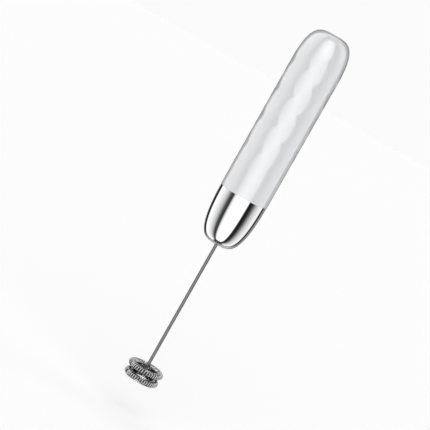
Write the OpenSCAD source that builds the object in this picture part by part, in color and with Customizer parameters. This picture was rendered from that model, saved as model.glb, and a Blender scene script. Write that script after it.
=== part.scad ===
// Rechargeable hand-held milk frother: white handle, chrome nose cone, thin rod and a double coil whisk.
// The tool's axis is Z. The origin is on that axis at the seam between handle and nose cone, +Z runs up
// to the button, and +Y is the back, where the charging port is.

/* [Handle] */
// Outer diameter of the handle
handle_d = 31; // [30:0.5:33]
// Length of the handle above the seam
handle_len = 107.8; // [107.5:0.1:109]
// Height of the rounded upper end
dome_h = 24; // [23:0.1:25]
// Wall thickness of the handle sleeve
sleeve_wall = 1.6; // [1.4:0.1:1.8]

/* [Nose cone] */
// Length of the nose cone below the seam
nose_len = 33; // [33:0.1:34]
// How far the nose cone's edge stands in from the sleeve's outside
nose_step = 0.2; // [0.1:0.1:0.3]
// Wall thickness of the nose cone
nose_wall = 1.4; // [1.2:0.1:1.6]
// How far the nose cone's spigot reaches up inside the sleeve
spigot_len = 6; // [5.5:0.1:6]

/* [Whisk] */
// Diameter of the whisk's rod
rod_d = 2; // [1.8:0.1:2.2]
// Bare rod between the nose cone and the top of the upper coil
rod_reach = 84.9; // [70:0.1:100]
// Mean diameter of the upper ring
upper_ring_d = 18.7; // [17:0.1:20]
// Mean diameter of the lower ring
lower_ring_d = 18.2; // [17:0.1:20]
// Distance between the two rings
ring_pitch = 5.6; // [5:0.1:7]
// Outer diameter of the spring coil that is threaded on each ring
coil_d = 4.1; // [3.5:0.1:4.4]
// Thickness of the coil's wire
coil_wire_d = 0.45; // [0.4:0.05:0.6]
// Thickness of the wires that the coils are threaded on
ring_wire_d = 1.6; // [1.4:0.1:1.8]
// Thickness of the spoke that carries the upper ring
spoke_d = 1; // [0.8:0.1:1.2]

/* [Button] */
// Diameter of the button cap
button_d = 14; // [13:0.1:14.4]
// How far the button travels
button_travel = 0.8; // [0.5:0.1:0.8]

/* [Motor] */
// Diameter of the round sides of the motor
motor_d = 20.4; // [20:0.1:20.6]
// Width across the motor's flat sides
motor_flat = 15.4; // [15:0.1:15.6]
// Diameter of the motor shaft
shaft_d = 2; // [1.8:0.1:2]

/* [Power] */
// Diameter of the battery in its wrap
cell_d = 14; // [13.8:0.1:14.2]
// Length of the battery
cell_len = 50; // [48:0.5:50]
// Height of the charging port above the seam
port_z = 50; // [48:0.5:54]

/* [Hidden] */
$fn = 96;
eps = 0.01;

// Handle and nose outlines are superellipses: one power for the radius, one for the height.
handle_r = handle_d / 2;
bore_r = handle_r - sleeve_wall;
dome_z = handle_len - dome_h;
dome_wall = 1.8;
dome_inner_h = dome_h - dome_wall;
dome_pow_r = 4;
dome_pow_z = 2.4;
nose_r = handle_r - nose_step;
nose_pow_r = 4.2;
nose_pow_z = 2.2;
outline_steps = 28;
outline_end_r = 1;

// Nose cone and what guides the rod
rod_r = rod_d / 2;
rod_hole_r = rod_r + 0.6;
bush_r = 3;
bush_gap = 0.06;
bush_z0 = -nose_len + 2;
bush_z1 = bush_z0 + 5;
seal_gap = 0.3;
seal_z1 = bush_z1 + 1.4;
retainer_z1 = seal_z1 + 0.6;
boss_r = 4.4;
neck_z = -4;
neck_r = bore_r - 1.6;
spigot_r = bore_r - 0.05;
o_ring_r = 0.5;
o_ring_z = 3;
o_ring_groove_h = 1.4;

// Core frame
frame_r = bore_r - 0.8;
frame_inner_r = frame_r - 1.2;
frame_z1 = handle_len - 14;
deck_t = 2;
bulkhead_t = 2;
bulkhead_gap = 0.5;
ledge_w = 3.4;
ledge_x = 10.1;
ledge_y = 3.6;
lead_r = 0.5;
lead_hole_r = 0.9;
board_y = 5.5;
cell_y = -4;

// Motor
motor_z0 = 10;
can_z1 = 33.5;
cap_z1 = 35.5;
can_t = 0.8;
motor_boss_r = 3.1;
motor_boss_h = 1.6;
motor_bush_r = 2;
shaft_r = shaft_d / 2;
shaft_z0 = -4;
running_gap = 0.03;
rotor_r = 6.3;
pole_count = 3;
neck_w = 2.6;
rotor_z0 = 15;
rotor_z1 = 28;
winding_over = 1.2;
commutator_r = 2.2;
rim_t = 1.3;
rotor_neck_r = 3;
slot_mouth = 1.6;
winding_r0 = 3.1;
winding_r1 = 3.9;
winding_w = 5.8;
commutator_cut = 0.3;
magnet_t = 2.5;
brush_x = 2.5;
brush_t = 0.3;
motor_screw_x = 6.5;
motor_screw_r = 1;
lug_x = 7;
motor_lead_y = 3.5;

// Coupling
coupling_r = 3.2;
coupling_z0 = -14;
coupling_z1 = 4;
rod_z1 = -6;
rod_fit = 0.05;
grip_z = -11;
grip_section_r = 0.45;
grip_groove_h = 1.1;

// Battery and boards
cell_z0 = 40;
cell_z1 = cell_z0 + cell_len;
wrap_t = 0.15;
tab_t = 0.3;
board_w = 21.2;
board_t = 1.2;
board_z0 = 39;
board_z1 = handle_len - 17;
board_back = board_y + board_t;
board_screw_x = 9.5;
board_screw_z = [board_z0 + 4, board_z1 - 4];
board_screw_r = 0.7;

// Charging port
socket_w = 9;
socket_h = 3.2;
socket_wall = 0.35;
socket_y1 = 13.4;
tongue_w = 6.7;
tongue_t = 0.7;
port_hole_w = 9.6;
port_hole_h = 3.8;
pocket_w = 15.6;
pocket_h = 9.6;
pocket_floor_r = bore_r + 0.5;
cover_gap = 0.3;
tether_z = port_z - 3.3;
tether_r = 0.6;
tether_foot_y = bore_r - 4.8;
notch_r = 2.7;
lamp_z = port_z + 11;
pipe_r = 0.9;

// Switch and button
switch_board_z = frame_z1;
switch_board_r = 8;
switch_screw_x = 6.6;
switch_screw_r = 0.7;
switch_lead_x = 3;
switch_lead_y = 4.3;
switch_w = 6;
switch_z0 = switch_board_z + 1;
switch_z1 = switch_z0 + 3.5;
plunger_r = 1.75;
plunger_gap = 0.1;
plunger_z0 = switch_z1 - 0.9;
plunger_z1 = switch_z1 + 1.9;
spring_r = 5;
spring_t = 0.5;
button_r = button_d / 2;
button_gap = 0.3;
button_wall = 1.4;
flange_r = button_r + 1.4;
flange_z0 = handle_len - 4.6;
flange_z1 = flange_z0 + 0.8;
cap_roof_z = handle_len - 2.4;

// Whisk
coil_r = coil_d / 2;
ring_wire_r = ring_wire_d / 2;
spoke_r = spoke_d / 2;
upper_z = -(nose_len + rod_reach + coil_r);
lower_z = upper_z - ring_pitch;
rod_z0 = upper_z + 1.3;
hub_r = rod_r + 0.2;
hub_z0 = upper_z - 1.4;
hub_z1 = rod_z0 + 1.6;
coil_clearance = 0.2;
spoke_turn = 25;
post_r = 0.45;
post_at = (upper_ring_d + lower_ring_d) / 4;

// Height of a superellipse of half-width a and height h, at radius r
function oval_z(a, h, r, pow_r, pow_z) = h * pow(max(0, 1 - pow(r / a, pow_r)), 1 / pow_z);
// Half outline of it from radius a at height 0 to radius r_end, as points with evenly turning steps
function oval_points(a, h, r_end, pow_r, pow_z) = [
    for (i = [0 : outline_steps])
        let (turn = 90 * i / outline_steps)
        let (r = a * pow(cos(turn), 2 / pow_r))
        let (kept_r = max(r, r_end))
        if (r >= r_end || i == outline_steps)
            [kept_r, oval_z(a, h, kept_r, pow_r, pow_z)]
];

module tube(r_out, r_in, z0, z1) {
    translate([0, 0, z0])
        difference() {
            cylinder(r = r_out, h = z1 - z0);
            translate([0, 0, -eps])
                cylinder(r = r_in, h = z1 - z0 + 2 * eps);
        }
}

module rod(r, z0, z1) {
    translate([0, 0, z0])
        cylinder(r = r, h = z1 - z0);
}

module box(x0, x1, y0, y1, z0, z1) {
    translate([x0, y0, z0])
        cube([x1 - x0, y1 - y0, z1 - z0]);
}

module ring(mean_r, section_r, z) {
    translate([0, 0, z])
        rotate_extrude()
            translate([mean_r, 0])
                circle(r = section_r, $fn = 48);
}

// A slot with round ends, w wide along X and h high along Z, from y0 to y1
module slot_block(w, h, y0, y1, z) {
    box(-(w - h) / 2, (w - h) / 2, y0, y1, z - h / 2, z + h / 2);
    for (side = [-1, 1])
        translate([side * (w - h) / 2, y0, z])
            rotate([-90, 0, 0])
                cylinder(r = h / 2, h = y1 - y0, $fn = 48);
}

// A straight pin along Y
module pin_y(r, x, y0, y1, z) {
    translate([x, y0, z])
        rotate([-90, 0, 0])
            cylinder(r = r, h = y1 - y0, $fn = 48);
}

// An insulated lead through the given points, round at each bend
module lead(points, r) {
    for (i = [0 : len(points) - 2]) {
        step = points[i + 1] - points[i];
        translate(points[i])
            rotate([0, acos(step[2] / norm(step)), atan2(step[1], step[0])])
                cylinder(r = r, h = norm(step), $fn = 24);
        translate(points[i + 1])
            sphere(r = r, $fn = 24);
    }
}

// ---- Handle shell ----

module dome_solid(a, h, r_end) {
    rotate_extrude()
        polygon(concat([[0, 0]], oval_points(a, h, r_end, dome_pow_r, dome_pow_z),
            [[0, oval_z(a, h, r_end, dome_pow_r, dome_pow_z)]]));
}

module sleeve_outside() {
    rod(handle_r, 0, dome_z);
    translate([0, 0, dome_z])
        dome_solid(handle_r, dome_h, outline_end_r);
}

module sleeve_inside() {
    rod(bore_r, -eps, dome_z);
    translate([0, 0, dome_z])
        dome_solid(bore_r, dome_inner_h, outline_end_r);
}

module port_cuts() {
    slot_block(port_hole_w, port_hole_h, bore_r - 3, handle_r + 1, port_z);
    pin_y(tether_r + 0.35, 0, bore_r - 3, handle_r + 1, tether_z);
    pin_y(pipe_r, 0, bore_r - 3, handle_r + 1, lamp_z);
    difference() {
        slot_block(pocket_w, pocket_h, 8, handle_r + 1, port_z);
        rod(pocket_floor_r, port_z - pocket_h, port_z + pocket_h);
    }
    translate([0, handle_r + 1.9, port_z + pocket_h / 2])
        sphere(r = notch_r);
}

module handle_sleeve() {
    color("white")
        difference() {
            sleeve_outside();
            sleeve_inside();
            rod(button_r + button_gap, dome_z, handle_len + 1);
            port_cuts();
        }
}

module nose_shape(a, h, r_end) {
    mirror([0, 0, 1])
        rotate_extrude()
            polygon(concat([[0, 0]], oval_points(a, h, r_end, nose_pow_r, nose_pow_z),
                [[0, oval_z(a, h, r_end, nose_pow_r, nose_pow_z)]]));
}

module nose_cavity() {
    difference() {
        nose_shape(nose_r - nose_wall, nose_len - nose_wall, outline_end_r);
        rod(handle_r, neck_z, eps);
        rod(boss_r, -nose_len, retainer_z1);
    }
    rod(neck_r, neck_z - eps, spigot_len + eps);
}

module nose_cone() {
    color("silver")
        difference() {
            union() {
                nose_shape(nose_r, nose_len, rod_hole_r);
                rod(spigot_r, -eps, spigot_len);
            }
            nose_cavity();
            rod(rod_hole_r, -nose_len - 1, bush_z0 + eps);
            rod(bush_r, bush_z0, retainer_z1 + eps);
            tube(bore_r + 1, bore_r - 2 * o_ring_r, o_ring_z - o_ring_groove_h / 2,
                o_ring_z + o_ring_groove_h / 2);
        }
}

module nose_o_ring() {
    color("dimgray")
        ring(bore_r - o_ring_r, o_ring_r, o_ring_z);
}

module rod_bush() {
    color("ivory")
        tube(bush_r, rod_r + bush_gap, bush_z0, bush_z1);
}

module rod_seal() {
    color("black")
        tube(bush_r, rod_r + seal_gap, bush_z1, seal_z1);
}

module seal_retainer() {
    color("silver")
        tube(bush_r, rod_hole_r, seal_z1, retainer_z1);
}

// ---- Frame inside the handle ----

module frame_shell() {
    difference() {
        tube(frame_r, frame_inner_r, spigot_len, frame_z1);
        box(-handle_r, handle_r, board_y, handle_r, motor_z0 + 2, frame_z1 - deck_t);
    }
}

module bulkhead(z0, z1) {
    intersection() {
        rod(frame_inner_r + 0.1, z0, z1);
        box(-handle_r, handle_r, -handle_r, board_y - bulkhead_gap, z0, z1);
    }
}

module cell_space(gap) {
    translate([0, cell_y, 0])
        rod(cell_d / 2 + gap, cell_z0 - tab_t, cell_z1 + tab_t);
}

module frame_holes() {
    rod(motor_boss_r + 0.2, 0, motor_z0 + eps);
    for (side = [-1, 1]) {
        translate([side * motor_screw_x, 0, 0])
            rod(motor_screw_r, spigot_len, motor_z0 + eps);
        translate([side * lug_x, motor_lead_y, 0])
            rod(lead_hole_r, cap_z1, cell_z0);
        translate([side * switch_lead_x, switch_lead_y, 0])
            rod(lead_hole_r, cell_z1, frame_z1 + 1);
        translate([side * switch_screw_x, 0, 0])
            rod(switch_screw_r, frame_z1 - deck_t - 1, frame_z1 + 1);
        for (z = board_screw_z)
            pin_y(board_screw_r, side * board_screw_x, 0, board_y + eps, z);
    }
}

module core_frame() {
    color("gainsboro")
        difference() {
            union() {
                frame_shell();
                rod(frame_inner_r + 0.1, motor_z0 - deck_t, motor_z0);
                bulkhead(cap_z1 + 2.4, cell_z0 - 0.6);
                for (z = [cell_z0 + 10, cell_z1 - 10 - bulkhead_t])
                    bulkhead(z, z + bulkhead_t);
                rod(frame_inner_r + 0.1, frame_z1 - deck_t, frame_z1);
                for (side = [-1, 1])
                    box(side * ledge_x - ledge_w / 2, side * ledge_x + ledge_w / 2, ledge_y, board_y,
                        board_z0, board_z1);
            }
            cell_space(0.15);
            frame_holes();
        }
}

module motor_profile(gap, z0, z1) {
    intersection() {
        rod(motor_d / 2 - gap, z0, z1);
        box(-motor_d, motor_d, -motor_flat / 2 + gap, motor_flat / 2 - gap, z0, z1);
    }
}

module motor_damper() {
    color("dimgray")
        difference() {
            rod(frame_inner_r, motor_z0 + 3, can_z1 - 2.5);
            motor_profile(0, motor_z0, can_z1);
        }
}

module motor_screws() {
    color("silver")
        for (side = [-1, 1])
            translate([side * motor_screw_x, 0, 0]) {
                rod(motor_screw_r, motor_z0 - deck_t, motor_z0 + 2.5);
                rod(1.9, motor_z0 - deck_t - 1.2, motor_z0 - deck_t);
            }
}

// ---- Motor ----

module motor_can() {
    color("silver")
        difference() {
            union() {
                motor_profile(0, motor_z0, can_z1);
                rod(motor_boss_r, motor_z0 - motor_boss_h, motor_z0 + eps);
            }
            motor_profile(can_t, motor_z0 + can_t, can_z1 + eps);
            rod(motor_bush_r, 0, motor_z0 + 1);
            for (side = [-1, 1])
                translate([side * motor_screw_x, 0, 0])
                    rod(motor_screw_r, motor_z0 - 1, motor_z0 + 1);
        }
}

module motor_end_cap() {
    color("ivory")
        difference() {
            union() {
                motor_profile(0, can_z1, cap_z1);
                motor_profile(can_t, can_z1 - 1, can_z1 + eps);
                rod(motor_boss_r, cap_z1 - eps, cap_z1 + motor_boss_h);
            }
            rod(motor_bush_r, can_z1 - 2, cap_z1 + motor_boss_h + 1);
        }
}

module front_bush() {
    color("darkgoldenrod")
        tube(motor_bush_r, shaft_r + running_gap, motor_z0 - motor_boss_h + 0.2, motor_z0 + 1.4);
}

module rear_bush() {
    color("darkgoldenrod")
        tube(motor_bush_r, shaft_r + running_gap, can_z1 + 0.7, cap_z1 + motor_boss_h - 0.2);
}

module magnets() {
    color("dimgray")
        intersection() {
            tube(motor_d / 2 - can_t - 0.1, motor_d / 2 - can_t - magnet_t, motor_z0 + 4, can_z1 - 3.5);
            for (side = [-1, 1])
                box(side * 7 - 4, side * 7 + 4, -5.6, 5.6, motor_z0, can_z1);
        }
}

module brushes() {
    color("peru")
        for (side = [-1, 1])
            box(side * brush_x - brush_t / 2, side * brush_x + brush_t / 2, -1.2, 1.2,
                can_z1 - 3.7, can_z1 - 1);
}

module motor_terminals() {
    color("gold")
        for (side = [-1, 1])
            box(side * lug_x - 1, side * lug_x + 1, -0.2, 0.2, cap_z1, cap_z1 + 2);
}

module motor_leads() {
    color("crimson")
        for (side = [-1, 1])
            lead([[side * lug_x, 0.75, cap_z1 + 1], [side * lug_x, motor_lead_y, cap_z1 + 1.4],
                [side * lug_x, motor_lead_y, board_z0 + 1.6], [side * lug_x, board_y - lead_r, board_z0 + 3]],
                lead_r);
}

module motor_shaft() {
    color("silver")
        rod(shaft_r, shaft_z0, cap_z1 + 1);
}

// The space between the poles, where the windings lie
module winding_space() {
    difference() {
        tube(rotor_r - rim_t, rotor_neck_r, rotor_z0 - 1, rotor_z1 + 1);
        for (i = [0 : pole_count - 1])
            rotate([0, 0, i * 360 / pole_count])
                box(0, rotor_r, -neck_w / 2, neck_w / 2, rotor_z0 - 2, rotor_z1 + 2);
    }
}

module rotor_core() {
    color("slategray")
        difference() {
            rod(rotor_r, rotor_z0, rotor_z1);
            winding_space();
            for (i = [0 : pole_count - 1])
                rotate([0, 0, (i + 0.5) * 360 / pole_count])
                    box(rotor_r - 2, rotor_r + 1, -slot_mouth / 2, slot_mouth / 2,
                        rotor_z0 - 1, rotor_z1 + 1);
            rod(shaft_r, rotor_z0 - 1, rotor_z1 + 1);
        }
}

module windings() {
    color("chocolate")
        for (i = [0 : pole_count - 1])
            rotate([0, 0, i * 360 / pole_count])
                difference() {
                    box(winding_r0, winding_r1, -winding_w / 2, winding_w / 2,
                        rotor_z0 - winding_over, rotor_z1 + winding_over);
                    box(2, rotor_r, -neck_w / 2, neck_w / 2, rotor_z0, rotor_z1);
                }
}

module commutator() {
    color("peru")
        difference() {
            tube(commutator_r, shaft_r, rotor_z1 + 1.5, can_z1 - 1.5);
            for (i = [0 : pole_count - 1])
                rotate([0, 0, (i + 0.5) * 360 / pole_count])
                    box(commutator_r - 0.5, commutator_r + 1, -commutator_cut / 2, commutator_cut / 2,
                        rotor_z1 + 1, can_z1);
        }
}

module thrust_washer() {
    color("ivory")
        tube(motor_bush_r, shaft_r, motor_z0 + 1.7, motor_z0 + 2.2);
}

// ---- Drive to the whisk ----

module drive_coupling() {
    color("ivory")
        difference() {
            rod(coupling_r, coupling_z0, coupling_z1);
            rod(shaft_r, shaft_z0, coupling_z1 + 1);
            rod(rod_r + rod_fit, coupling_z0 - 1, rod_z1 + 0.5);
            tube(rod_r + 1, rod_r, grip_z - grip_groove_h / 2, grip_z + grip_groove_h / 2);
        }
}

module grip_ring() {
    color("black")
        ring(rod_r + 0.1 + grip_section_r, grip_section_r, grip_z);
}

// ---- Battery and boards ----

module battery_cell() {
    color("silver")
        translate([0, cell_y, 0])
            rod(cell_d / 2 - wrap_t, cell_z0, cell_z1);
}

module battery_wrap() {
    color("steelblue")
        translate([0, cell_y, 0])
            tube(cell_d / 2, cell_d / 2 - wrap_t, cell_z0 + 0.4, cell_z1 - 0.4);
}

module battery_tabs() {
    color("lightgray") {
        box(-2, 2, cell_y - 2, board_y - tab_t, cell_z0 - tab_t, cell_z0);
        box(-2, 2, board_y - tab_t, board_y, cell_z0 - tab_t, cell_z0 + 2.5);
        box(-1, 1, cell_y - 2, board_y - tab_t, cell_z1, cell_z1 + tab_t);
        box(-1, 1, board_y - tab_t, board_y, cell_z1 - 2.5, cell_z1 + tab_t);
    }
}

module main_board() {
    color("seagreen")
        difference() {
            box(-board_w / 2, board_w / 2, board_y, board_back, board_z0, board_z1);
            for (side = [-1, 1])
                for (z = board_screw_z)
                    pin_y(board_screw_r, side * board_screw_x, board_y - 1, board_back + 1, z);
        }
}

module board_components() {
    color("darkslategray") {
        box(-3, 3, board_back, board_back + 1.2, 66, 72);
        box(-8, -4, board_back, board_back + 2.4, 74, 78);
        box(4, 8, board_back, board_back + 1.6, 72, 75);
        box(5, 7, board_back, board_back + 0.9, 60, 63);
        box(-7, -5, board_back, board_back + 0.9, 60, 63);
        box(-5, 5, board_back, board_back + 1, 82, 84);
    }
}

module board_screws() {
    color("silver")
        for (side = [-1, 1])
            for (z = board_screw_z) {
                pin_y(board_screw_r, side * board_screw_x, board_y - 2.4, board_back, z);
                pin_y(1.3, side * board_screw_x, board_back, board_back + 0.8, z);
            }
}

module charging_socket() {
    color("silver")
        difference() {
            slot_block(socket_w, socket_h, board_back, socket_y1, port_z);
            slot_block(socket_w - 2 * socket_wall, socket_h - 2 * socket_wall, board_back + 1.2,
                socket_y1 + 1, port_z);
        }
}

module socket_tongue() {
    color("black")
        box(-tongue_w / 2, tongue_w / 2, board_back + 1.2, socket_y1 - 0.5,
            port_z - tongue_t / 2, port_z + tongue_t / 2);
}

module charge_lamp() {
    color("lightyellow")
        box(-0.8, 0.8, board_back, board_back + 0.7, lamp_z - 0.5, lamp_z + 0.5);
}

module light_pipe() {
    color("whitesmoke")
        intersection() {
            pin_y(pipe_r, 0, board_back + 1.1, handle_r + 1, lamp_z);
            rod(handle_r - 0.05, lamp_z - 3, lamp_z + 3);
        }
}

module port_cover() {
    color("white") {
        difference() {
            intersection() {
                slot_block(pocket_w - 2 * cover_gap, pocket_h - 2 * cover_gap, 8, handle_r + 1, port_z);
                rod(handle_r - 0.1, port_z - pocket_h, port_z + pocket_h);
            }
            rod(pocket_floor_r + cover_gap, port_z - pocket_h, port_z + pocket_h);
        }
        slot_block(port_hole_w - 0.7, port_hole_h - 0.7, socket_y1 + 0.3, pocket_floor_r + 0.6, port_z);
        pin_y(tether_r, 0, tether_foot_y, pocket_floor_r + 0.6, tether_z);
        pin_y(tether_r + 0.7, 0, tether_foot_y, tether_foot_y + 0.7, tether_z);
    }
}

// ---- Button ----

module switch_board() {
    color("seagreen")
        difference() {
            rod(switch_board_r, switch_board_z, switch_z0);
            for (side = [-1, 1])
                translate([side * switch_screw_x, 0, 0])
                    rod(switch_screw_r, switch_board_z - 1, switch_z0 + 1);
        }
}

module switch_screws() {
    color("silver")
        for (side = [-1, 1])
            translate([side * switch_screw_x, 0, 0]) {
                rod(switch_screw_r, frame_z1 - deck_t, switch_z0);
                rod(1.1, switch_z0, switch_z0 + 0.7);
            }
}

module switch_body() {
    color("dimgray")
        difference() {
            box(-switch_w / 2, switch_w / 2, -switch_w / 2, switch_w / 2, switch_z0, switch_z1);
            rod(plunger_r + plunger_gap, plunger_z0 - button_travel - 0.3, switch_z1 + 1);
        }
}

module switch_plunger() {
    color("black")
        rod(plunger_r, plunger_z0, plunger_z1);
}

module switch_leads() {
    color("crimson")
        for (side = [-1, 1])
            lead([[side * switch_lead_x, board_y - lead_r, board_z1 - 2.5],
                [side * switch_lead_x, switch_lead_y, board_z1 - 2.5],
                [side * switch_lead_x, switch_lead_y, switch_board_z - lead_r]], lead_r);
}

// The spring stands on the switch board and pushes the button's roof up
module return_spring() {
    color("silver")
        tube(spring_r, spring_r - spring_t, switch_z0, cap_roof_z);
}

module cap_outside() {
    intersection() {
        translate([0, 0, dome_z])
            dome_solid(handle_r, dome_h, outline_end_r);
        rod(button_r, flange_z0, handle_len);
    }
    rod(flange_r, flange_z0, flange_z1);
}

module button_cap() {
    color("whitesmoke")
        union() {
            difference() {
                cap_outside();
                rod(button_r - button_wall, flange_z0 - 1, cap_roof_z);
            }
            rod(plunger_r - 0.05, plunger_z1, cap_roof_z + eps);
        }
}

// ---- Whisk ----

module whisk_rod() {
    color("silver")
        rod(rod_r, rod_z0, rod_z1);
}

module spoke_line(r, reach) {
    rotate([0, 0, spoke_turn])
        translate([-reach, 0, upper_z])
            rotate([0, 90, 0])
                cylinder(r = r, h = 2 * reach, $fn = 48);
}

module posts(r, z0, z1) {
    for (side = [-1, 1])
        rotate([0, 0, spoke_turn])
            translate([side * post_at, 0, 0])
                rod(r, z0, z1);
}

module whisk_hub() {
    color("silver")
        difference() {
            rod(hub_r, hub_z0, hub_z1);
            rod(rod_r, rod_z0, hub_z1 + 1);
            spoke_line(spoke_r, 2 * hub_r);
        }
}

module spoke_wire() {
    color("silver")
        difference() {
            spoke_line(spoke_r, upper_ring_d / 2);
            ring(upper_ring_d / 2, ring_wire_r, upper_z);
        }
}

module upper_ring_wire() {
    color("silver")
        ring(upper_ring_d / 2, ring_wire_r, upper_z);
}

module lower_ring_wire() {
    color("silver")
        ring(lower_ring_d / 2, ring_wire_r, lower_z);
}

module ring_posts() {
    color("silver")
        difference() {
            posts(post_r, lower_z, upper_z);
            ring(upper_ring_d / 2, ring_wire_r, upper_z);
            ring(lower_ring_d / 2, ring_wire_r, lower_z);
            spoke_line(spoke_r, upper_ring_d);
        }
}

// The space that one threaded coil takes: a round tube bent into a ring, as thick as its wire
module coil_space(mean_d, z) {
    difference() {
        ring(mean_d / 2, coil_r, z);
        ring(mean_d / 2, coil_r - coil_wire_d, z);
    }
}

module upper_coil() {
    color("gray")
        difference() {
            coil_space(upper_ring_d, upper_z);
            spoke_line(spoke_r + coil_clearance, upper_ring_d / 2 - ring_wire_r);
            posts(post_r + coil_clearance, lower_z, upper_z);
        }
}

module lower_coil() {
    color("gray")
        difference() {
            coil_space(lower_ring_d, lower_z);
            posts(post_r + coil_clearance, lower_z + ring_wire_r, upper_z);
        }
}

handle_sleeve();
nose_cone();
nose_o_ring();
rod_bush();
rod_seal();
seal_retainer();
core_frame();
motor_damper();
motor_screws();
motor_can();
motor_end_cap();
front_bush();
rear_bush();
magnets();
brushes();
motor_terminals();
motor_leads();
battery_cell();
battery_wrap();
battery_tabs();
main_board();
board_components();
board_screws();
charging_socket();
socket_tongue();
charge_lamp();
light_pipe();
switch_board();
switch_screws();
switch_body();
switch_leads();
return_spring();
button_cap();
switch_plunger();
port_cover();
motor_shaft();
rotor_core();
windings();
commutator();
thrust_washer();
drive_coupling();
grip_ring();
whisk_rod();
whisk_hub();
spoke_wire();
upper_ring_wire();
lower_ring_wire();
ring_posts();
upper_coil();
lower_coil();
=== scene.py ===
"""Looks of the hand-held milk frother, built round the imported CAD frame.

All coordinates are metres in the CAD frame: Z is the tool's axis, z = 0 is the seam between the
handle and the nose cone, +Z runs up to the button, and +Y is the back, where the charging port is.
The handle, nose cone, button cap, port cover, whisk coils and return spring get meshes of their own.
The other CAD nodes keep their shape and get a material.
"""
import math

import bmesh
import bpy
from mathutils import Matrix, Vector


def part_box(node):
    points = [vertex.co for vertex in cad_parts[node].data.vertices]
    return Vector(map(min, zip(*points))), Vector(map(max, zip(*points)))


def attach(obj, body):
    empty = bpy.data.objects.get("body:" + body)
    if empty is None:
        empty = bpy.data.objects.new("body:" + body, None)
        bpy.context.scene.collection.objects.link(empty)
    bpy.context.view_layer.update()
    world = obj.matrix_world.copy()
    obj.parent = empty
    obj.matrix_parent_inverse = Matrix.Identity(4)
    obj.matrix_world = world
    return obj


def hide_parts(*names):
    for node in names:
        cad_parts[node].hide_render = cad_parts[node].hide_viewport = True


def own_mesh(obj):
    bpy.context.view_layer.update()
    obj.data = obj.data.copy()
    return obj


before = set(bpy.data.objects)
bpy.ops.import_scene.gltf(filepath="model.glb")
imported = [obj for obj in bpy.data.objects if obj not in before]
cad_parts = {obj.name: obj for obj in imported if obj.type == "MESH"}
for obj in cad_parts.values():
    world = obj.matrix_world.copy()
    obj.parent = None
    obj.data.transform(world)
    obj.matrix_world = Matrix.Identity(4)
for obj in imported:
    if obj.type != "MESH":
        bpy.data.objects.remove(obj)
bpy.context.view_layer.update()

MM = 0.001


# ---- Sizes, read from the frame or shared with the CAD design ----

def low(node):
    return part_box(node)[0]


def high(node):
    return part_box(node)[1]


HANDLE_R = high("handle_sleeve").x
HANDLE_WALL = 1.6 * MM
BORE_R = HANDLE_R - HANDLE_WALL
TOP_Z = high("button_cap").z
DOME_H = 24 * MM
DOME_Z = TOP_Z - DOME_H
DOME_WALL = 1.8 * MM
DOME_POWERS = (4.0, 2.4)
NOSE_LEN = -low("nose_cone").z
NOSE_STEP = 0.2 * MM         # how far it stands in from the handle
NOSE_R = HANDLE_R - NOSE_STEP
NOSE_WALL = 1.4 * MM
NOSE_POWERS = (4.2, 2.2)
SPIGOT_LEN = high("nose_cone").z
BUTTON_R = 7 * MM
BUTTON_GAP = 0.3 * MM
EDGE = 0.2 * MM             # rounding of moulded edges

# Facets of the handle: a net of shallow diamond scoops in staggered columns
FACET_COLUMNS = 16
FACET_PITCH = 18.4 * MM     # height of one diamond
FACET_Z = 56.5 * MM         # centre of one diamond of the column left of the front
FACET_DEPTH = 0.34 * MM
FACET_START = (8 * MM, 42 * MM)     # heights between which the net fades in, from the seam up
FACET_END = (89 * MM, 97 * MM)      # heights between which it fades out again, below the dome
PORT_MARGIN = (1 * MM, 6 * MM)      # distances from the charging port over which it fades in
FACET_CELLS = 16            # mesh cells across half a diamond

# Charging port and its cover, at the back
PORT_Z = (low("charging_socket").z + high("charging_socket").z) / 2
POCKET_W = 15.6 * MM
POCKET_H = 9.6 * MM
POCKET_FLOOR_R = BORE_R + 0.5 * MM
PORT_HOLE_W = 9.6 * MM
PORT_HOLE_H = 3.8 * MM
COVER_GAP = 0.3 * MM
TETHER_Z = PORT_Z - 3.3 * MM
TETHER_R = 0.6 * MM
TETHER_HOLE_R = TETHER_R + 0.35 * MM
LAMP_Z = (low("light_pipe").z + high("light_pipe").z) / 2
LAMP_R = (high("light_pipe").z - low("light_pipe").z) / 2

# Whisk
COIL_WIRE_R = 0.37 * MM
COIL_TURNS = 43
SPOKE_TURN = math.radians(25)
# Side of each coil whose wire has shade painted into its colour: its middle, as an angle up from the coil's
# outside, and half its reach
UPPER_SHADE = (math.radians(248), math.radians(70))
LOWER_SHADE = (math.radians(232), math.radians(74))
SHADE_SOFT = math.radians(10)


# ---- Mesh helpers ----

def mesh_piece(name, vertices, faces, merge=True):
    """A smooth-shaded mesh object from plain lists, with coincident points merged and normals outward."""
    mesh = bpy.data.meshes.new(name)
    mesh.from_pydata(vertices, [], faces)
    work = bmesh.new()
    work.from_mesh(mesh)
    if merge:
        bmesh.ops.remove_doubles(work, verts=work.verts, dist=1e-7)
    bmesh.ops.recalc_face_normals(work, faces=work.faces)
    work.to_mesh(mesh)
    work.free()
    mesh.shade_smooth()
    piece = bpy.data.objects.new(name, mesh)
    bpy.context.scene.collection.objects.link(piece)
    return piece


def sharpen(piece, degrees):
    """Edges that turn by more than this angle are shaded as sharp edges."""
    piece.data.set_sharp_from_angle(angle=math.radians(degrees))


def strip_faces(rows, columns, close_rows, close_columns):
    """Quads between neighbouring rows of a grid of points, with each direction closed or open."""
    faces = []
    for i in range(rows if close_rows else rows - 1):
        for j in range(columns if close_columns else columns - 1):
            below = i * columns
            above = (i + 1) % rows * columns
            faces.append((below + j, below + (j + 1) % columns, above + (j + 1) % columns, above + j))
    return faces


def front_point(radius, turn, z):
    """The point at this turn about Z, measured from the front, -Y, towards +X."""
    return (radius * math.sin(turn), -radius * math.cos(turn), z)


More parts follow.
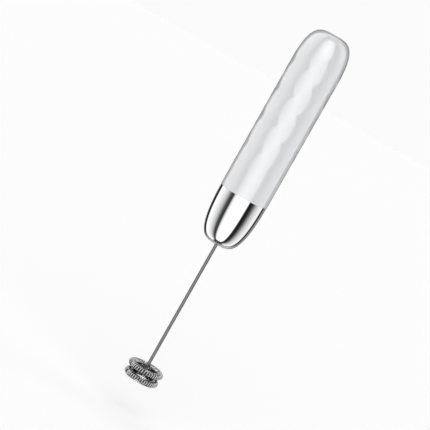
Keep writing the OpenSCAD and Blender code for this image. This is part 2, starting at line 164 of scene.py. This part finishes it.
def lathe(name, profile, sides):
    """A closed solid of revolution from a closed loop of (radius, z) points."""
    vertices = [front_point(r, 2 * math.pi * j / sides, z) for r, z in profile for j in range(sides)]
    return mesh_piece(name, vertices, strip_faces(len(profile), sides, True, True))


def oval_z(a, h, r, powers):
    """Height of a superellipse of half-width a and height h at radius r."""
    return h * max(0.0, 1 - (r / a) ** powers[0]) ** (1 / powers[1])


def oval_points(a, h, r_end, powers, steps):
    """Half outline of that superellipse, from radius a at height 0 in to r_end."""
    points = []
    for i in range(steps + 1):
        turn = math.pi / 2 * i / steps
        r = a * max(0.0, math.cos(turn)) ** (2 / powers[0])
        if r <= r_end:
            break
        points.append((r, oval_z(a, h, r, powers)))
    points.append((r_end, oval_z(a, h, r_end, powers)))
    return points


def rounded(corner, before, after, radius, steps=4):
    """Points that round a corner of a profile, as a quadratic curve from radius before to radius after."""
    c, b, a = (Vector(p) for p in (corner, before, after))
    start = c + (b - c).normalized() * radius
    end = c + (a - c).normalized() * radius
    points = []
    for i in range(steps + 1):
        t = i / steps
        p = start * (1 - t) ** 2 + c * 2 * t * (1 - t) + end * t ** 2
        points.append((p.x, p.y))
    return points


def tube(name, points, centres, radius, sides, closed):
    """A round tube along points. centres holds, for each point, the centre that its section turns from."""
    vertices = []
    count = len(points)
    for i, point in enumerate(points):
        if closed:
            along = (points[(i + 1) % count] - points[i - 1]).normalized()
        else:
            along = (points[min(i + 1, count - 1)] - points[max(i - 1, 0)]).normalized()
        out = point - centres[i]
        out = (out - out.dot(along) * along).normalized()
        side = along.cross(out)
        for j in range(sides):
            turn = 2 * math.pi * j / sides
            vertices.append(tuple(point + radius * (math.cos(turn) * out + math.sin(turn) * side)))
    faces = strip_faces(count, sides, closed, True)
    if not closed:
        faces.append(tuple(range(sides))[::-1])
        faces.append(tuple((count - 1) * sides + j for j in range(sides)))
    return mesh_piece(name, vertices, faces, merge=False)


def slot_outline(half_straight, half_height, arc_steps=12, straight_steps=10):
    """A slot with round ends, as (x, z) points with the same count at any size."""
    points = []
    for end in (1, -1):
        for i in range(arc_steps + 1):
            turn = -math.pi / 2 + math.pi * i / arc_steps
            x = end * (half_straight + half_height * math.cos(turn))
            points.append((x, end * half_height * math.sin(turn)))
        for i in range(1, straight_steps):
            x = end * half_straight * (1 - 2 * i / straight_steps)
            points.append((x, end * half_height))
    return points


def wrapped_slab(name, width, height, z, rings, cap_steps=5):
    """A slot-shaped slab that follows a round wall at the back. Each ring is how far the outline
    grows or shrinks and the radius of the wall that it lies on, from the innermost ring to the outermost."""
    half_height = height / 2
    half_straight = (width - height) / 2

    def cap(grow, radius):
        return [(-half_height + (half_height + grow) * i / cap_steps, radius) for i in range(cap_steps)]

    vertices = []
    for grow, radius in cap(*rings[0]) + list(rings) + cap(*rings[-1])[::-1]:
        for x, dz in slot_outline(half_straight, half_height + grow):
            vertices.append((x, math.sqrt(radius ** 2 - x ** 2), z + dz))
    columns = len(slot_outline(half_straight, half_height))
    faces = strip_faces(len(vertices) // columns, columns, False, True)
    return mesh_piece(name, vertices, faces)


def back_pin(name, profile, x, z, sides=32):
    """A solid of revolution about a line along +Y at (x, z), from a closed loop of (radius, y) points."""
    vertices = []
    for r, y in profile:
        for j in range(sides):
            turn = 2 * math.pi * j / sides
            vertices.append((x + r * math.cos(turn), y, z + r * math.sin(turn)))
    return mesh_piece(name, vertices, strip_faces(len(profile), sides, True, True))


def ball(name, centre, radius, sides=48):
    rings = sides // 2
    profile = [(radius * math.sin(math.pi * i / rings), centre[1] - radius * math.cos(math.pi * i / rings))
               for i in range(rings + 1)]
    return back_pin(name, profile, centre[0], centre[2], sides)


def join(pieces, name):
    """Several closed meshes as one piece."""
    work = bmesh.new()
    for piece in pieces:
        work.from_mesh(piece.data)
    mesh = bpy.data.meshes.new(name)
    work.to_mesh(mesh)
    work.free()
    mesh.shade_smooth()
    for piece in pieces:
        bpy.data.objects.remove(piece)
    joined = bpy.data.objects.new(name, mesh)
    bpy.context.scene.collection.objects.link(joined)
    return joined


def cut(piece, cutters):
    """Cuts the cutters out of the piece and removes them."""
    for cutter in cutters:
        modifier = piece.modifiers.new("cut", "BOOLEAN")
        modifier.operation = "DIFFERENCE"
        modifier.solver = "EXACT"
        modifier.object = cutter
    bpy.context.view_layer.update()
    evaluated = piece.evaluated_get(bpy.context.evaluated_depsgraph_get())
    mesh = bpy.data.meshes.new_from_object(evaluated)
    piece.modifiers.clear()
    piece.data = mesh
    for cutter in cutters:
        bpy.data.objects.remove(cutter)


def smooth_step(x, start, end):
    t = min(1.0, max(0.0, (x - start) / (end - start)))
    return t * t * (3 - 2 * t)


# ---- Materials ----

def add(tree, kind, inputs=None, **settings):
    """A new node with its settings, and its inputs set to values or linked to sockets."""
    node = tree.nodes.new(kind)
    for key, value in settings.items():
        setattr(node, key, value)
    for key, value in (inputs or {}).items():
        if isinstance(value, bpy.types.NodeSocket):
            tree.links.new(value, node.inputs[key])
        else:
            node.inputs[key].default_value = value
    return node


def math_node(tree, operation, a, b=0.0):
    return add(tree, "ShaderNodeMath", {0: a, 1: b}, operation=operation).outputs[0]


def ramp(tree, factor, stops):
    """A colour ramp with (position, colour or grey) stops."""
    node = add(tree, "ShaderNodeValToRGB", {0: factor})
    elements = node.color_ramp.elements
    while len(elements) < len(stops):
        elements.new(1.0)
    for element, (position, value) in zip(elements, stops):
        element.position = position
        element.color = (*value, 1) if isinstance(value, tuple) else (value, value, value, 1)
    return node.outputs["Color"]


def place(tree, stretch):
    """Object coordinates, stretched along the axes."""
    coordinates = add(tree, "ShaderNodeTexCoord").outputs["Object"]
    if tuple(stretch) == (1, 1, 1):
        return coordinates
    return add(tree, "ShaderNodeMapping", {"Vector": coordinates, "Scale": stretch}).outputs[0]


def noise(tree, scale, detail, stretch):
    return add(tree, "ShaderNodeTexNoise",
               {"Vector": place(tree, stretch), "Scale": scale, "Detail": detail}).outputs[0]


def dimmed(color, share):
    return tuple(min(1.0, c * share) for c in color)


def finish(name, color, roughness, metallic=0.0, patch=60, mottle=0.04, grain=2500, depth=4e-6,
           stretch=(1, 1, 1), spread=0.04, painted_shade_share=1.0, **shader):
    """A finish whose colour drifts over patches, whose roughness follows a finer noise, and whose
    surface has a fine grain. patch and grain are in cells per metre, depth is in metres. On a wound
    wire, a share below 1 paints shade into the colour: it is how much of its brightness the wire keeps where
    its painted shade is full."""
    made = bpy.data.materials.new(name)
    made.use_nodes = True
    tree = made.node_tree
    surface = tree.nodes["Principled BSDF"]
    drift = noise(tree, patch, 2.0, stretch)
    tint = ramp(tree, drift, [(0.3, dimmed(color, 1 - mottle)), (0.7, dimmed(color, 1 + mottle))])
    # Painted shade: the wire's colour is darkened where the shade mask stored on its points is high.
    if painted_shade_share < 1:
        painted_coil_shade = add(tree, "ShaderNodeAttribute", attribute_name="painted_coil_shade").outputs["Fac"]
        kept = ramp(tree, painted_coil_shade, [(0.25, 1.0), (0.55, painted_shade_share)])
        tint = add(tree, "ShaderNodeVectorMath", {0: tint, 1: kept}, operation="MULTIPLY").outputs[0]
    fine = noise(tree, grain, 4.0, stretch)
    gloss = ramp(tree, fine, [(0.3, max(0.0, roughness - spread)), (0.7, min(1.0, roughness + spread))])
    bump = add(tree, "ShaderNodeBump", {"Height": fine, "Strength": 1.0, "Distance": depth})
    tree.links.new(tint, surface.inputs["Base Color"])
    tree.links.new(gloss, surface.inputs["Roughness"])
    tree.links.new(bump.outputs[0], surface.inputs["Normal"])
    surface.inputs["Metallic"].default_value = metallic
    for key, value in shader.items():
        surface.inputs[key.replace("_", " ")].default_value = value
    return made


MATERIALS = {
    "white_shell": finish("white_shell", (0.744, 0.750, 0.760), 0.13, mottle=0.008, grain=1800, depth=1.2e-6,
                          spread=0.02, IOR=1.6, Specular_IOR_Level=1.0, Coat_Weight=1.0, Coat_Roughness=0.08),
    "white_rubber": finish("white_rubber", (0.78, 0.78, 0.78), 0.5, mottle=0.015, grain=6000, depth=8e-6),
    "mirror_chrome": finish("mirror_chrome", (0.93, 0.93, 0.935), 0.035, 1.0, mottle=0.01, grain=900,
                            depth=4e-7, spread=0.015),
    "rod_steel": finish("rod_steel", (0.24, 0.24, 0.245), 0.3, 1.0, mottle=0.05, grain=9000, depth=2e-6,
                        stretch=(1, 1, 0.03), spread=0.06),
    # Near black as painted shade: the whisk's ring wires, spoke and posts are given the dark of the coils'
    # shade.
    "wire_steel": finish("wire_steel", (0.035, 0.035, 0.036), 0.35, 1.0, mottle=0.08, grain=7000, depth=3e-6),
    # coil_steel: its wound wire is painted almost black where the coil's shade falls.
    "coil_steel": finish("coil_steel", (0.66, 0.66, 0.665), 0.08, 1.0, mottle=0.06, grain=7000, depth=3e-6,
                         painted_shade_share=0.02),
    "black_rubber": finish("black_rubber", (0.02, 0.02, 0.02), 0.6, mottle=0.15, grain=5000, depth=1e-5),
    "ivory_plastic": finish("ivory_plastic", (0.72, 0.68, 0.58), 0.38, mottle=0.03, grain=4000, depth=4e-6),
    "frame_plastic": finish("frame_plastic", (0.55, 0.55, 0.56), 0.45, mottle=0.03, grain=5000, depth=6e-6),
    "black_plastic": finish("black_plastic", (0.025, 0.025, 0.027), 0.4, mottle=0.1, grain=5000, depth=5e-6),
    "plated_steel": finish("plated_steel", (0.66, 0.66, 0.66), 0.28, 1.0, mottle=0.06, grain=3000,
                           depth=3e-6),
    "bush_brass": finish("bush_brass", (0.55, 0.38, 0.18), 0.42, 1.0, mottle=0.12, grain=9000, depth=1e-5),
    "copper": finish("copper", (0.70, 0.30, 0.16), 0.3, 1.0, mottle=0.1, grain=2500, depth=4e-5,
                     stretch=(0.02, 0.02, 1)),
    "dark_iron": finish("dark_iron", (0.16, 0.16, 0.17), 0.45, 1.0, mottle=0.1, grain=2000, depth=2e-5,
                        stretch=(0.02, 0.02, 1)),
    "lead_insulation": finish("lead_insulation", (0.55, 0.03, 0.025), 0.45, mottle=0.05, grain=3000),
    "cell_wrap": finish("cell_wrap", (0.05, 0.16, 0.42), 0.3, mottle=0.06, grain=700, depth=1e-5),
    "circuit_board": finish("circuit_board", (0.02, 0.20, 0.08), 0.35, patch=900, mottle=0.25, grain=2500),
    "lamp_clear": finish("lamp_clear", (0.92, 0.93, 0.92), 0.2, mottle=0.01, grain=3000,
                         Transmission_Weight=0.7),
}

NODE_MATERIALS = {
    "white_rubber": ["port_cover"],
    "rod_steel": ["whisk_rod", "whisk_hub"],
    # These wires sit inside the coils; their near-black colour is painted shade.
    "wire_steel": ["spoke_wire", "upper_ring_wire", "lower_ring_wire", "ring_posts"],
    "black_rubber": ["nose_o_ring", "rod_seal", "motor_damper", "grip_ring"],
    "ivory_plastic": ["rod_bush", "motor_end_cap", "thrust_washer", "drive_coupling"],
    "frame_plastic": ["core_frame"],
    "black_plastic": ["board_components", "socket_tongue", "switch_body", "switch_plunger"],
    "plated_steel": ["seal_retainer", "motor_screws", "motor_can", "battery_cell", "battery_tabs",
                     "board_screws", "charging_socket", "switch_screws", "motor_shaft"],
    "bush_brass": ["front_bush", "rear_bush", "motor_terminals"],
    "copper": ["brushes", "windings", "commutator"],
    "dark_iron": ["magnets", "rotor_core"],
    "lead_insulation": ["motor_leads", "switch_leads"],
    "cell_wrap": ["battery_wrap"],
    "circuit_board": ["main_board", "switch_board"],
    "lamp_clear": ["charge_lamp", "light_pipe"],
}
for material_name, nodes in NODE_MATERIALS.items():
    for node_name in nodes:
        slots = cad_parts[node_name].material_slots
        for material_slot in slots:
            material_slot.material = MATERIALS[material_name]


def set_in_place(piece, body, slot_name, *nodes):
    """The piece rides on its body, takes its finish from the slot and stands for the CAD nodes."""
    piece.data.materials.clear()
    piece.data.materials.append(MATERIALS[slot_name])
    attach(piece, body)
    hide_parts(*nodes)


# ---- Handle ----

def scoop(turn, z):
    """How far a point of the facet net lies below the handle's round surface: from -0.5 at a diamond's
    tips, through 0 at the middle of its edges, to 0.5 at its centre."""
    p = turn * FACET_COLUMNS / (2 * math.pi) + 0.5
    q = 2 * (z - FACET_Z) / FACET_PITCH
    s = (p + q) / 2
    t = (p - q) / 2
    s -= math.floor(s + 0.5)
    t -= math.floor(t + 0.5)
    return 0.5 - (s + t) ** 2 - (s - t) ** 2


def facet_share(turn, z):
    """The facets fade out towards the dome, the seam and the charging port."""
    share = smooth_step(z, *FACET_START) * (1 - smooth_step(z, *FACET_END))
    if math.cos(turn) < 0:
        off_x = abs(HANDLE_R * math.sin(turn)) - POCKET_W / 2
        off_z = max(PORT_Z - POCKET_H / 2 - z, z - LAMP_Z - LAMP_R)
        share *= smooth_step(max(off_x, off_z), *PORT_MARGIN)
    return share


def handle_rows():
    """(radius, z, faceted) for each row of points, up the outside, in at the button hole, down the bore."""
    step = FACET_PITCH / 2 / FACET_CELLS
    first = math.ceil((EDGE - FACET_Z) / step + 0.5)
    last = math.floor((DOME_Z - FACET_Z) / step - 0.5)
    hole_r = BUTTON_R + BUTTON_GAP
    outer = oval_points(HANDLE_R, DOME_H, hole_r, DOME_POWERS, steps=64)
    inner = oval_points(BORE_R, DOME_H - DOME_WALL, hole_r, DOME_POWERS, steps=24)
    rows = [(r, z, False) for r, z in rounded((HANDLE_R, 0), (BORE_R, 0), (HANDLE_R, 1), EDGE)]
    rows += [(HANDLE_R, FACET_Z + k * step, True) for k in range(first, last + 1)]
    rows += [(r, DOME_Z + z, True) for r, z in outer[:-1]]
    rim = (outer[-1][0], DOME_Z + outer[-1][1])
    before = (outer[-2][0], DOME_Z + outer[-2][1])
    rows = [row for row in rows if row[0] > rim[0] + 1.5 * EDGE]
    rows += [(r, z, False) for r, z in rounded(rim, before, (hole_r, 0), EDGE)]
    rows += [(r, DOME_Z + z, False) for r, z in inner[::-1]]
    bore_rows = 6
    rows += [(BORE_R, DOME_Z * k / bore_rows, False) for k in range(bore_rows - 1, -1, -1)]
    return rows


def handle_faces(rows, columns):
    """Quads, split along the creases where a crease of the facet net runs through them."""
    step = FACET_PITCH / 2 / FACET_CELLS
    faces = []
    for i in range(len(rows)):
        above = (i + 1) % len(rows)
        q = round((rows[i][1] - FACET_Z) / step)
        on_net = rows[i][2] and rows[above][2] and rows[above][1] < DOME_Z
        for j in range(columns):
            a = i * columns + j
            b = i * columns + (j + 1) % columns
            c = above * columns + (j + 1) % columns
            d = above * columns + j
            if on_net and (j - q) % (2 * FACET_CELLS) == FACET_CELLS:
                faces += [(a, b, c), (a, c, d)]
            elif on_net and (j + q + 1) % (2 * FACET_CELLS) == FACET_CELLS:
                faces += [(a, b, d), (b, c, d)]
            else:
                faces.append((a, b, c, d))
    return faces


def make_handle():
    rows = handle_rows()
    columns = FACET_COLUMNS * FACET_CELLS
    vertices = []
    for r, z, faceted in rows:
        for j in range(columns):
            turn = 2 * math.pi * (j / FACET_CELLS - 0.5) / FACET_COLUMNS
            depth = FACET_DEPTH * scoop(turn, z) * facet_share(turn, z) if faceted else 0.0
            vertices.append(front_point(r - depth, turn, z))
    sleeve = mesh_piece("faceted_sleeve", vertices, handle_faces(rows, columns))
    outside = HANDLE_R + 2 * MM
    inside = BORE_R - 3 * MM
    flare = 0.25 * MM
    notch_y = HANDLE_R + 1.9 * MM
    notch_z = PORT_Z + POCKET_H / 2
    notch_r = 2.7 * MM
    cut(sleeve, [
        wrapped_slab("cut_pocket", POCKET_W, POCKET_H, PORT_Z,
                     [(0, POCKET_FLOOR_R), (0, HANDLE_R - flare), (2 * flare, HANDLE_R + flare),
                      (2 * flare, outside)]),
        wrapped_slab("cut_port", PORT_HOLE_W, PORT_HOLE_H, PORT_Z, [(0, inside), (0, outside)]),
        back_pin("cut_tether", [(0, inside), (TETHER_HOLE_R, inside), (TETHER_HOLE_R, outside), (0, outside)],
                 0, TETHER_Z),
        back_pin("cut_lamp", [(0, inside), (LAMP_R, inside), (LAMP_R, outside), (0, outside)], 0, LAMP_Z),
        ball("cut_notch", (0, notch_y, notch_z), notch_r),
    ])
    sharpen(sleeve, 40)
    set_in_place(sleeve, "handle", "white_shell", "handle_sleeve")


# ---- Nose cone ----

def make_nose():
    rod_gap = 0.6 * MM
    hole_r = high("whisk_rod").x + rod_gap
    bush_r = high("rod_bush").x
    bush_z = low("rod_bush").z
    boss_z = high("seal_retainer").z
    boss_r = bush_r + NOSE_WALL
    cavity_a = NOSE_R - NOSE_WALL
    cavity_h = NOSE_LEN - NOSE_WALL
    neck_z = -4 * MM
    neck_r = BORE_R - 1.6 * MM
    groove_z = 3 * MM
    groove_half = 0.7 * MM
    groove_low = groove_z - groove_half
    groove_high = groove_z + groove_half
    groove_r = BORE_R - 1 * MM
    outer = [(r, -z) for r, z in oval_points(NOSE_R, NOSE_LEN, hole_r, NOSE_POWERS, steps=72)]
    cavity = [(r, -z) for r, z in oval_points(cavity_a, cavity_h, boss_r, NOSE_POWERS, steps=24)]
    cavity = [p for p in cavity if p[1] < neck_z]
    lip = rounded(outer[-1], outer[-2], (hole_r, bush_z), EDGE)
    profile = rounded((NOSE_R, 0), (BORE_R, 0), (NOSE_R, -1), EDGE)
    profile += [p for p in outer[1:-1] if p[0] > hole_r + 1.5 * EDGE and p[1] < -1.2 * EDGE]
    profile += lip + [(hole_r, bush_z), (bush_r, bush_z), (bush_r, boss_z), (boss_r, boss_z)]
    profile += cavity[::-1]
    profile += [(cavity[0][0], neck_z), (neck_r, neck_z), (neck_r, SPIGOT_LEN), (BORE_R, SPIGOT_LEN),
                (BORE_R, groove_high), (groove_r, groove_high), (groove_r, groove_low), (BORE_R, groove_low),
                (BORE_R, 0)]
    nose = lathe("polished_nose", profile, sides=192)
    sharpen(nose, 35)
    set_in_place(nose, "handle", "mirror_chrome", "nose_cone")


# ---- Button ----

def make_button():
    flange_z = TOP_Z - 4.6 * MM
    flange_top = flange_z + 0.8 * MM
    flange_r = BUTTON_R + 1.4 * MM
    wall_r = BUTTON_R - 1.4 * MM
    roof_z = high("return_spring").z
    post_r = 1.7 * MM
    crown_r = 1 * MM            # the dome is flat inside this
    post_z = high("switch_plunger").z
    top = [(r, DOME_Z + z) for r, z in oval_points(HANDLE_R, DOME_H, crown_r, DOME_POWERS, steps=64)]
    edge = (BUTTON_R, DOME_Z + oval_z(HANDLE_R, DOME_H, BUTTON_R, DOME_POWERS))
    dome = [p for p in top if p[0] < BUTTON_R - 1.5 * EDGE]
    profile = [(0, post_z)] + rounded((post_r, post_z), (0, post_z), (post_r, roof_z), EDGE)
    profile += [(post_r, roof_z), (wall_r, roof_z), (wall_r, flange_z)]
    profile += rounded((flange_r, flange_z), (wall_r, flange_z), (flange_r, flange_top), EDGE)
    profile += rounded((flange_r, flange_top), (flange_r, flange_z), (BUTTON_R, flange_top), EDGE)
    profile += [(BUTTON_R, flange_top)] + rounded(edge, (BUTTON_R, flange_top), dome[0], EDGE)
    profile += dome + [(0, dome[-1][1])]
    button = lathe("domed_button", profile, sides=128)
    sharpen(button, 40)
    set_in_place(button, "button", "white_shell", "button_cap")


def make_return_spring():
    """An open spring with a closed, flat turn at each end."""
    lower = low("return_spring").z
    upper = high("return_spring").z
    wire_r = 0.25 * MM
    mean_r = high("return_spring").x - wire_r
    turns = 5.5
    end_turns = 1.0
    even_part = 0.86        # the part of the rise that is spread evenly; the rest eases in and out
    steps = int(turns * 32)
    points = []
    centres = []
    for i in range(steps + 1):
        turned = turns * i / steps
        rise = smooth_step(turned, end_turns * 0.6, turns - end_turns * 0.6)
        even = (turned - end_turns) / (turns - 2 * end_turns)
        share = min(1.0, max(0.0, even)) * even_part + rise * (1 - even_part)
        z = lower + wire_r + (upper - lower - 2 * wire_r) * share
        angle = 2 * math.pi * turned
        points.append(Vector((mean_r * math.cos(angle), mean_r * math.sin(angle), z)))
        centres.append(Vector((0, 0, z)))
    spring = tube("wound_return_spring", points, centres, wire_r, 12, False)
    set_in_place(spring, "handle", "plated_steel", "return_spring")
    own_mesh(spring)


# ---- Port cover ----

def make_port_cover():
    """A soft slab that fills the pocket, a plug for the socket and a pull-out tether."""
    outside = high("port_cover").y
    width = POCKET_W - 2 * COVER_GAP
    height = POCKET_H - 2 * COVER_GAP
    soft = 0.3 * MM
    base = POCKET_FLOOR_R + COVER_GAP
    rings = [(0, base), (0, outside - soft)]
    round_steps = 4
    for i in range(1, round_steps + 1):
        turn = math.pi / 2 * i / round_steps
        rings.append((-soft * (1 - math.cos(turn)), outside - soft + soft * math.sin(turn)))
    slab = wrapped_slab("cover_slab", width, height, PORT_Z, rings)
    plug_y = high("charging_socket").y + 0.3 * MM
    plug_play = 0.7 * MM
    plug_end = base + 0.2 * MM      # the plug and the tether run this far into the slab
    plug = wrapped_slab("cover_plug", PORT_HOLE_W - plug_play, PORT_HOLE_H - plug_play, PORT_Z,
                        [(-soft, plug_y), (0, plug_y + soft), (0, plug_end)])
    foot_y = low("port_cover").y
    foot = 0.7 * MM
    tether = back_pin("cover_tether",
                      [(0, foot_y), (TETHER_R + 0.4 * foot, foot_y), (TETHER_R + foot, foot_y + 0.5 * foot),
                       (TETHER_R + foot, foot_y + foot), (TETHER_R, foot_y + foot),
                       (TETHER_R, plug_end), (0, plug_end)], 0, TETHER_Z)
    cover = join([slab, plug, tether], "soft_port_cover")
    sharpen(cover, 50)
    set_in_place(cover, "cover", "white_rubber", "port_cover")


# ---- Whisk ----

def spread_turns(turn):
    """Where the wire really lies: the turns make room on each side of the spoke and the posts."""
    push = math.radians(4)
    sharp = math.radians(2)
    reach = math.radians(14)
    shift = 0.0
    for centre in (SPOKE_TURN, SPOKE_TURN + math.pi):
        off = (turn - centre + math.pi) % (2 * math.pi) - math.pi
        shift += push * math.tanh(off / sharp) * math.exp(-(off / reach) ** 2)
    return turn + shift


def paint_coil_shade(coil, painted_tuck_shade):
    """Paints shade into the wire: stores, at each point of the wire, how dark its painted shade is, on the
    wire's side that faces into the coil and on the part of each turn that lies in between the rings."""
    sides = len(coil.data.vertices) // len(painted_tuck_shade)
    painted_coil_shade = coil.data.attributes.new("painted_coil_shade", "FLOAT", "POINT")
    painted_coil_shade.data.foreach_set("value", [max(hidden, 0.5 - 0.5 * math.cos(2 * math.pi * j / sides))
                                      for hidden in painted_tuck_shade for j in range(sides)])


def make_coil(node, name, post_side, shade):
    """A spring coil threaded on a ring. post_side is where round the coil the gap between turns lies
    at the spoke and posts, as an angle up from the coil's outside."""
    shade_middle, shade_half = shade
    coil_r = (high(node).z - low(node).z) / 2
    middle_z = (high(node).z + low(node).z) / 2
    ring_r = high(node).x - coil_r
    wound_r = coil_r - COIL_WIRE_R
    per_turn = 24
    points = []
    centres = []
    painted_tuck_shade = []
    for i in range(COIL_TURNS * per_turn):
        turn = 2 * math.pi * i / (COIL_TURNS * per_turn)
        wound = COIL_TURNS * (turn - SPOKE_TURN) + post_side + math.pi
        # Painted shade: the side of each turn that lies in the shade between the rings is darkened.
        off = abs((wound - shade_middle + math.pi) % (2 * math.pi) - math.pi)
        painted_tuck_shade.append(1 - smooth_step(off, shade_half - SHADE_SOFT, shade_half + SHADE_SOFT))
        angle = spread_turns(turn)
        across = ring_r + wound_r * math.cos(wound)
        points.append(Vector((across * math.cos(angle), across * math.sin(angle),
                              middle_z + wound_r * math.sin(wound))))
        centres.append(Vector((ring_r * math.cos(angle), ring_r * math.sin(angle), middle_z)))
    coil = tube(name, points, centres, COIL_WIRE_R, 10, True)
    paint_coil_shade(coil, painted_tuck_shade)
    set_in_place(coil, "whisk", "coil_steel", node)


# ---- Studio: camera, floor and light ----

VIEW_UP = math.radians(7.3)         # how far the camera looks down on the tool
VIEW_ROLL = math.radians(29.5)      # how far the tool leans over in the picture
VIEW_DISTANCE = 0.947
VIEW_TARGET = Vector((-9.28, 0, -18.5)) * MM
SENSOR = 36.0
LENS = 134.0
FLOOR_DROP = 25 * MM                # the floor lies this far below the whisk
FLOOR_GLOW = 0.315
GROUND_LEVEL = 0.965                # brightness of the plain ground behind the tool


def make_camera():
    back = Vector((0, -math.cos(VIEW_UP), math.sin(VIEW_UP)))
    level = Vector((1, 0, 0))
    rise = Vector((0, math.sin(VIEW_UP), math.cos(VIEW_UP)))
    right = math.cos(VIEW_ROLL) * level + math.sin(VIEW_ROLL) * rise
    up = -math.sin(VIEW_ROLL) * level + math.cos(VIEW_ROLL) * rise
    data = bpy.data.cameras.new("camera")
    data.sensor_width = SENSOR
    data.lens = LENS
    camera = bpy.data.objects.new("camera", data)
    turned = Matrix((right, up, back)).transposed().to_4x4()
    camera.matrix_world = Matrix.Translation(VIEW_TARGET + VIEW_DISTANCE * back) @ turned
    bpy.context.scene.collection.objects.link(camera)
    bpy.context.scene.camera = camera


def make_floor():
    size = 6.0
    z = low("lower_coil").z - FLOOR_DROP
    floor = mesh_piece("floor", [(-size, -size, z), (size, -size, z), (size, size, z), (-size, size, z)],
                       [(0, 1, 2, 3)])
    floor.data.materials.append(finish("floor", (0.9, 0.9, 0.9), 0.9, patch=3, mottle=0.003, grain=300,
                                       depth=1e-6, Specular_IOR_Level=0.0, Emission_Color=(1, 1, 1, 1),
                                       Emission_Strength=FLOOR_GLOW))
    floor.visible_glossy = False


# Level of the studio round the tool, by the angle from the front, -Y, towards +X, in degrees.
# White panels stand in front and at the sides, with dark flags between them.
STUDIO = [
    (-180, 0.02), (-148, 0.01), (-129, 0.01), (-125, 0.62), (-112, 0.6), (-98, 0.55), (-86, 0.47),
    (-74, 0.37), (-64, 0.22), (-56, 0.07), (-52, 0.035), (-41, 0.02), (-35, 0.38), (-27, 0.62), (-16, 0.85),
    (0, 1.04), (16, 0.87), (27, 0.72), (36, 0.58), (40, 0.005), (46, 0.006), (54, 0.012), (64, 0.08),
    (74, 0.27), (86, 0.41), (98, 0.49), (112, 0.56), (116, 0.54), (119, 0.005), (130, 0.005), (134, 0.02),
    (180, 0.02),
]
STUDIO_PEAK = 1.8
# How the level changes with the height of the direction, in degrees up from level
STUDIO_HEIGHT = [
    (-90, 0.06), (-76, 0.06), (-70, 1.0), (12, 1.0), (16, 1.25), (62, 1.25), (70, 0.5), (90, 0.4),
]
HEIGHT_PEAK = 1.25
# Softer lights round the back: off the table behind the tool, off the table close below it, and from a
# panel high behind it. Each is a level, its spread round the tool and its spread in height, in degrees.
GLOWS = [
    (0.11, [(-158, 1), (-149, 0), (130, 0), (135, 1)], [(-70, 0), (-55, 1), (-5, 1), (1, 0)]),
    (0.12, [(-125, 1), (-100, 0), (100, 0), (125, 1)], [(-80, 0), (-72, 1), (-45, 1), (-28, 0)]),
    (0.4, [(-150, 1), (-125, 0), (125, 0), (150, 1)], [(40, 0), (54, 1), (72, 1), (86, 0.2)]),
]


def make_world():
    world = bpy.data.worlds.new("studio")
    bpy.context.scene.world = world
    world.use_nodes = True
    tree = world.node_tree
    tree.nodes.clear()
    way = add(tree, "ShaderNodeTexCoord").outputs["Generated"]
    axes = add(tree, "ShaderNodeSeparateXYZ", {0: way})
    toward = math_node(tree, "MULTIPLY", axes.outputs["Y"], -1.0)
    turn = math_node(tree, "ARCTAN2", axes.outputs["X"], toward)
    share = math_node(tree, "MULTIPLY_ADD", turn, 1 / (2 * math.pi))
    share.node.inputs[2].default_value = 0.5
    around = ramp(tree, share, [(0.5 + a / 360, v) for a, v in STUDIO])
    height = math_node(tree, "ARCSINE", axes.outputs["Z"])
    rise = math_node(tree, "MULTIPLY_ADD", height, 1 / math.pi)
    rise.node.inputs[2].default_value = 0.5
    tall = ramp(tree, rise, [(0.5 + a / 180, v / HEIGHT_PEAK) for a, v in STUDIO_HEIGHT])
    level = add(tree, "ShaderNodeVectorMath", {0: around, 1: tall}, operation="MULTIPLY").outputs[0]
    for glow, sides, heights in GLOWS:
        behind = ramp(tree, share, [(0.5 + a / 360, v * glow) for a, v in sides])
        under = ramp(tree, rise, [(0.5 + a / 180, v) for a, v in heights])
        glow_level = add(tree, "ShaderNodeVectorMath", {0: behind, 1: under}, operation="MULTIPLY").outputs[0]
        level = add(tree, "ShaderNodeVectorMath", {0: level, 1: glow_level}, operation="ADD").outputs[0]
    seen = add(tree, "ShaderNodeLightPath").outputs["Is Camera Ray"]
    studio = add(tree, "ShaderNodeBackground", {"Color": level, "Strength": STUDIO_PEAK * HEIGHT_PEAK})
    ground = (GROUND_LEVEL, GROUND_LEVEL, GROUND_LEVEL, 1)
    plain = add(tree, "ShaderNodeBackground", {"Color": ground, "Strength": 1.0})
    mixed = add(tree, "ShaderNodeMixShader", {0: seen, 1: studio.outputs[0], 2: plain.outputs[0]})
    add(tree, "ShaderNodeOutputWorld", {"Surface": mixed.outputs[0]})


make_camera()
make_floor()
make_world()
make_handle()
make_nose()
make_button()
make_return_spring()
make_port_cover()
make_coil("upper_coil", "wound_upper_coil", 0.0, UPPER_SHADE)
make_coil("lower_coil", "wound_lower_coil", math.pi / 2, LOWER_SHADE)
bpy.context.scene.view_settings.view_transform = "Standard"
